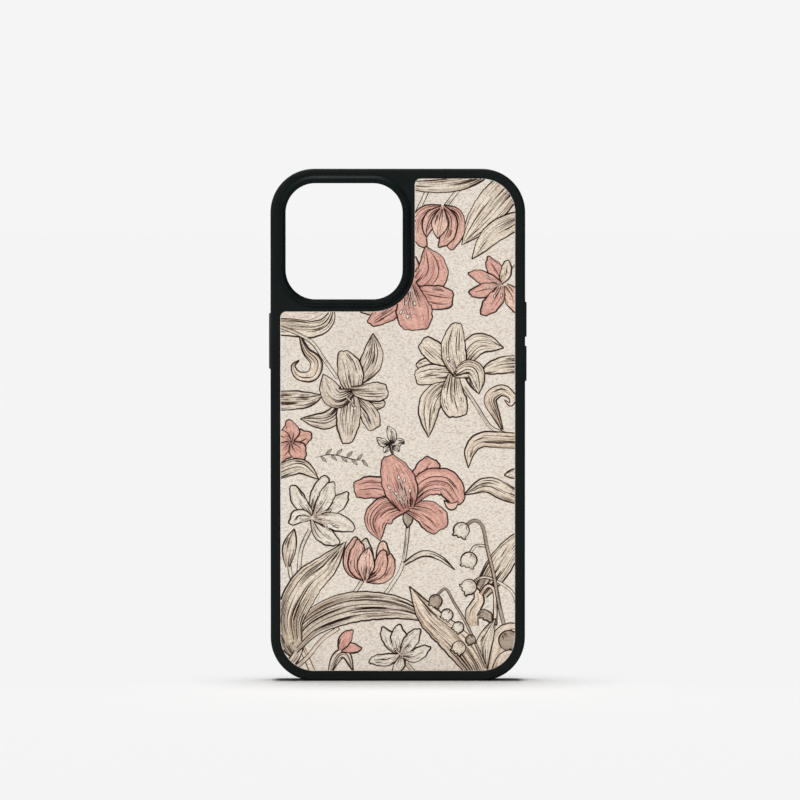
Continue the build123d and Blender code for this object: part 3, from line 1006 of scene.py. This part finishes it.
# Inking: only what no later shape covers and what lies on the panel, as flat tapered ribbons
inking = {"margin": 0.16, "step": 0.16, "tolerance": 0.012, "longest": 12}


# which points of a shape's strokes show
def uncovered(points, border, laterShapes):
    seen = inside(points, border)
    low, high = points.min(0), points.max(0)
    for ring, ringLow, ringHigh in laterShapes:
        if (ringLow > high).any() or (ringHigh < low).any():
            continue
        near = np.where(seen & (points > ringLow).all(1) & (points < ringHigh).all(1))[0]
        if len(near):
            seen[near[inside(points[near], ring)]] = False
    return seen


def visibleRuns(drawing):
    border = panelRing(inking["margin"])
    rings = [(s["ring"], s["ring"].min(0), s["ring"].max(0)) for s in drawing.shapes]
    runs = []
    for order, shape in enumerate(drawing.shapes):
        fine = []
        for path, width, ink in shape["strokes"]:
            count = max(3, int(pathLength(path) / inking["step"]))
            fine.append((evenly(np.column_stack([path, width]), count), ink))
        if not fine:
            continue
        seen = uncovered(np.vstack([line[:, :2] for line, _ in fine]), border, rings[order + 1:])
        start = 0
        for line, ink in fine:
            flags = seen[start:start + len(line)]
            start += len(line)
            edges = np.flatnonzero(np.diff(np.concatenate([[0], flags.astype(int), [0]])))
            runs += [(line[a:b], ink) for a, b in zip(edges[::2], edges[1::2]) if b - a >= 3]
    return runs


# drops samples that a straight piece passes close by
def thinRun(line):
    keep, anchor = [0], 0
    for k in range(2, len(line)):
        d = line[k, :2] - line[anchor, :2]
        rel = line[anchor + 1:k, :2] - line[anchor, :2]
        off = np.abs(rel[:, 0] * d[1] - rel[:, 1] * d[0]) / max(np.hypot(*d), 1e-9)
        if off.max() > inking["tolerance"] or k - anchor > inking["longest"]:
            keep.append(k - 1)
            anchor = k - 1
    keep.append(len(line) - 1)
    return line[keep]


def inkMesh(name, runs, y, material):
    points, faces = [], []
    for line in map(thinRun, runs):
        path, start, n = line[:, :2], len(points), len(line)
        half = sideways(path) * line[:, 2:] / 2
        points += [(p[0] * mm, y * mm, p[1] * mm) for p in (*(path + half), *(path - half))]
        faces += [(start + n + k, start + n + k + 1, start + k + 1, start + k) for k in range(n - 1)]
    made = newObject(name, points, faces)
    made.data.materials.append(material)
    return made


# The leather and its grain
leather = {
    "ground": (233, 224, 212),
    "cutEdge": (236, 230, 220),
    "valley": (168, 150, 130),  # painted shade: what multiplies the colour in the hollows between the pebbles
    "rough": 0.62,
    "grain": 2000,
    "grainDepth": 0.17 * mm,
    "warp": (0.0006, 0.0006, 0.0006),
    "drawnOut": (0.62, 1.0, 1.2),  # the pebbles' stretch along the hide
    "inkRise": 0.02,
    "inkStep": 0.005,  # between one ink and the next
    "inkWorn": (50, 40, 30),  # how much paler an ink is where it is thin
}


def grainHeight(finish):
    # pebbles of about half a millimetre: rounded cells, drawn out along the hide
    drift = finish.node("TexNoise", {}, {"Vector": finish.place, "Scale": 900, "Detail": 1.0}, "Color")
    warp = finish.node("VectorMath", {"operation": "MULTIPLY_ADD"},
                       {0: drift, 1: leather["warp"], 2: finish.place})
    drawn = finish.node("Mapping", {}, {"Vector": warp, "Rotation": (0, math.radians(38), 0),
                                        "Scale": leather["drawnOut"]})
    cells = finish.node("TexVoronoi", {"feature": "SMOOTH_F1"},
                        {"Vector": drawn, "Scale": leather["grain"], "Smoothness": 0.35}, "Distance")
    pores = finish.noise(5200, 2.0)
    return 1 - cells * 1.1 + pores * 0.18, cells


def leatherFinish():
    finish = newFinish("printedLeather")
    height, cells = grainHeight(finish)
    wash = finish.node("Attribute", {"attribute_name": "washColor"}, {}, "Color")
    cloud = finish.noise(70, 3.0, 0.55)
    # painted shade in the hollows between the pebbles, with a faint random mottle of the hide's own tone on
    # top
    valley = finish.stretch(cells, 0.35, 0.85)
    shadeAndMottle = valley * 0.46 + finish.stretch(cloud, 0.35, 0.7) * 0.05
    toned = finish.mixColor(shadeAndMottle, wash, linear(*leather["valley"]), "MULTIPLY")
    rough = finish.stretch(valley, 0.0, 1.0, leather["rough"] - 0.05, leather["rough"] + 0.1)
    return finish.surface({"Base Color": toned, "Roughness": rough, "Specular IOR Level": 0.35,
                           "Normal": finish.bump(height, leather["grainDepth"], 0.6)})


def inkFinish(name, color):
    finish = newFinish(name)
    height, cells = grainHeight(finish)
    flow = finish.noise(1600, 3.0, 0.6)
    worn = finish.stretch(flow, 0.45, 0.8) * 0.22 + finish.stretch(cells, 0.0, 0.3, 0.08, 0.0)
    thin = linear(*(c + paler for c, paler in zip(color, leather["inkWorn"])))
    tint = finish.mixColor(worn, linear(*color), thin)
    rough = finish.stretch(flow, 0.3, 0.7, 0.5, 0.66)
    return finish.surface({"Base Color": tint, "Roughness": rough, "Specular IOR Level": 0.3,
                           "Normal": finish.bump(height, leather["grainDepth"], 0.6)})


drawing = Drawing(11)
drawPrint(drawing)
print("print drawn:", len(drawing.shapes), "shapes")

leatherSkin, skinPoints = sheetMesh("leatherSkin", lambda inset: [panelRing(inset)], panel["pitch"],
                                    panel["edge"], panelLow[1], panelHigh[1])
washes = paint(drawing, skinPoints, leather["ground"])
rim = ringDistance(skinPoints, panelRing())
# the pale cut edge is the leather's own colour, but near the camera notch it is faded out as painted shade
# from the guard
notchBend = np.hypot(skinPoints[:, 0] - notchCorner[0], skinPoints[:, 1] - notchCorner[1])
edgeShare = (0.85 * (1 - softStep(rim, 0.12, 0.42)) * softStep(notchBend, 7.0, 12.0))[:, None]
washes = washes * (1 - edgeShare) + np.array(linear(*leather["cutEdge"])) * edgeShare
everyPoint = np.tile(np.array(linear(*leather["cutEdge"])), (len(leatherSkin.data.vertices), 1))
everyPoint[:len(washes)] = washes
layer = leatherSkin.data.color_attributes.new("washColor", "FLOAT_COLOR", "POINT")
rgba = np.hstack([everyPoint, np.ones((len(everyPoint), 1))])
layer.data.foreach_set("color", rgba.astype(np.float32).ravel())
leatherSkin.data.materials.append(leatherFinish())
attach(leatherSkin, "case")
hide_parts("leather_panel")
panelSize = (panelHigh - panelLow) * mm
cutAway = (notchCorner[0] - panelLow[0]) * (panelHigh[2] - notchCorner[1]) * mm * mm
panelSize[0] * panelSize[2] - cutAway
print("leather painted:", len(leatherSkin.data.polygons), "faces")

runs = visibleRuns(drawing)
for step, (ink, color) in enumerate(inkColors.items()):
    pieceName = "ink_" + ink
    chosen = [line for line, kind in runs if kind == ink]
    y = panelLow[1] - leather["inkRise"] - leather["inkStep"] * step
    lines = inkMesh(pieceName, chosen, y, inkFinish(pieceName, color))
    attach(lines, "case")
    print("inked:", pieceName, len(lines.data.polygons), "faces")


# The lining: short-napped microfibre that the phone's back lies on
lining = {"color": (34, 37, 38), "brushed": (64, 68, 69), "rough": 0.9, "nap": 5200, "napDepth": 0.05 * mm,
          "corner": 11.5, "cameraCorner": 11.1, "cameraMargin": 0.7, "rimStep": 0.8, "edge": 0.16,
          "pitch": 2.0}


def liningRings(inset):
    step, margin = lining["rimStep"], lining["cameraMargin"] - inset
    low, high = liningLow[[0, 2]] + inset, liningHigh[[0, 2]] - inset
    return [roundedRing(low, high, lining["corner"] - inset, step),
            roundedRing(sleeveLow - margin, sleeveHigh + margin, lining["cameraCorner"] - inset, step)]


def liningFinish():
    finish = newFinish("liningMicrofibre")
    squash = finish.node("VectorMath", {"operation": "MULTIPLY"}, {0: finish.place, 1: (1.0, 1.0, 0.35)})
    fibre = finish.noise(lining["nap"], 4.0, 0.7, squash)
    stroke = finish.noise(55, 3.0, 0.6)
    share = finish.stretch(fibre, 0.35, 0.7) * 0.6 + finish.stretch(stroke, 0.4, 0.65) * 0.4
    color = finish.mixColor(share, linear(*lining["color"]), linear(*lining["brushed"]))
    return finish.surface({"Base Color": color, "Roughness": finish.stretch(fibre, 0.3, 0.7, 0.95, 0.82),
                           "Specular IOR Level": 0.2, "Sheen Weight": 0.35, "Sheen Roughness": 0.45,
                           "Normal": finish.bump(fibre, lining["napDepth"], 0.7)})


sleevePoints = np.array([tuple(v.co) for v in frame["nodes"]["camera_guard"].data.vertices]) / mm
sleevePoints = sleevePoints[sleevePoints[:, 1] > guardHigh[1] - 0.05][:, [0, 2]]
sleeveLow, sleeveHigh = sleevePoints.min(0), sleevePoints.max(0)
liningCloth, _ = sheetMesh("liningCloth", liningRings, lining["pitch"], lining["edge"],
                           liningHigh[1], liningLow[1])
liningCloth.data.materials.append(liningFinish())
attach(liningCloth, "case")
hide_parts("lining")
liningSize = (liningHigh - liningLow) * mm
holeSize = (sleeveHigh - sleeveLow + 2 * lining["cameraMargin"]) * mm
liningSize[0] * liningSize[2] - holeSize[0] * holeSize[1]
print("lining laid:", len(liningCloth.data.polygons), "faces")


# The studio: a pale floor and surround, a broad light overhead and a soft key from the upper left
studio = {
    "pale": 0.912,  # what the camera sees of the surround
    "floorTone": 0.88,
    "horizon": 0.10,
    "overhead": 0.12,
    "front": 0.8,
    "lights": {  # power, spread and direction
        "topLight": (2.9, 24, (-0.02, 0.065, 1.0)),
        "keyLight": (2.1, 36, (-0.42, -0.80, 0.46)),
        "backLight": (2.4, 60, (-0.45, 0.85, 0.5)),
    },
    "distance": 2.0,
    "elevation": 1.8,
    "lens": 279.9,
    "aim": (0.0007, 0.0, 0.0901),
    "reach": 30.0,
}

far = studio["reach"]
floor = newObject("floor", [(-far, -far, 0), (far, -far, 0), (far, far, 0), (-far, far, 0)], [(0, 1, 2, 3)])
floor.data.materials.append(newFinish("paleFloor").surface({
    "Base Color": (studio["floorTone"],) * 3, "Roughness": 0.9, "Specular IOR Level": 0.0}))


def studioWorld():
    world = bpy.data.worlds.new("studio")
    bpy.context.scene.world = world
    sky = Finish(world, "Generated")
    parts = sky.node("SeparateXYZ", {}, {0: sky.place}).socket.node.outputs
    depth, height = Wire(sky, parts["Y"]), Wire(sky, parts["Z"])
    light = sky.stretch(height, 0.0, 0.9, studio["horizon"], studio["overhead"])
    light = light * sky.stretch(depth, -0.85, 0.1, studio["front"], 1.0)
    seen = sky.node("LightPath", {}, {}, "Is Camera Ray")
    strength = seen * studio["pale"] + (1 - seen) * light
    shader = sky.node("Background", {}, {"Color": (1, 1, 1), "Strength": strength})
    sky.node("OutputWorld", {}, {"Surface": shader})


studioWorld()
for name, (power, spread, direction) in studio["lights"].items():
    lamp = bpy.data.lights.new(name, "SUN")
    lamp.energy, lamp.angle = power, math.radians(spread)
    light = bpy.data.objects.new(name, lamp)
    if name != "topLight":  # flagged off the floor, like a barn-doored lamp
        lit = bpy.data.collections.new(name + "Reach")
        for thing in bpy.context.scene.objects:
            if thing.type == "MESH" and thing is not floor:
                lit.objects.link(thing)
        light.light_linking.receiver_collection = lit
    light.rotation_euler = (-Vector(direction)).to_track_quat("-Z", "Y").to_euler()
    bpy.context.scene.collection.objects.link(light)

eye = bpy.data.cameras.new("camera")
eye.lens = studio["lens"]
eye.clip_start, eye.clip_end = 0.05, 100
camera = bpy.data.objects.new("camera", eye)
aim = Vector(studio["aim"])
up = math.radians(studio["elevation"])
camera.location = aim + Vector((0, -math.cos(up), math.sin(up))) * studio["distance"]
camera.rotation_euler = (aim - camera.location).to_track_quat("-Z", "Y").to_euler()
bpy.context.scene.collection.objects.link(camera)
bpy.context.scene.camera = camera
bpy.context.scene.view_settings.view_transform = "Standard"
print("studio set")
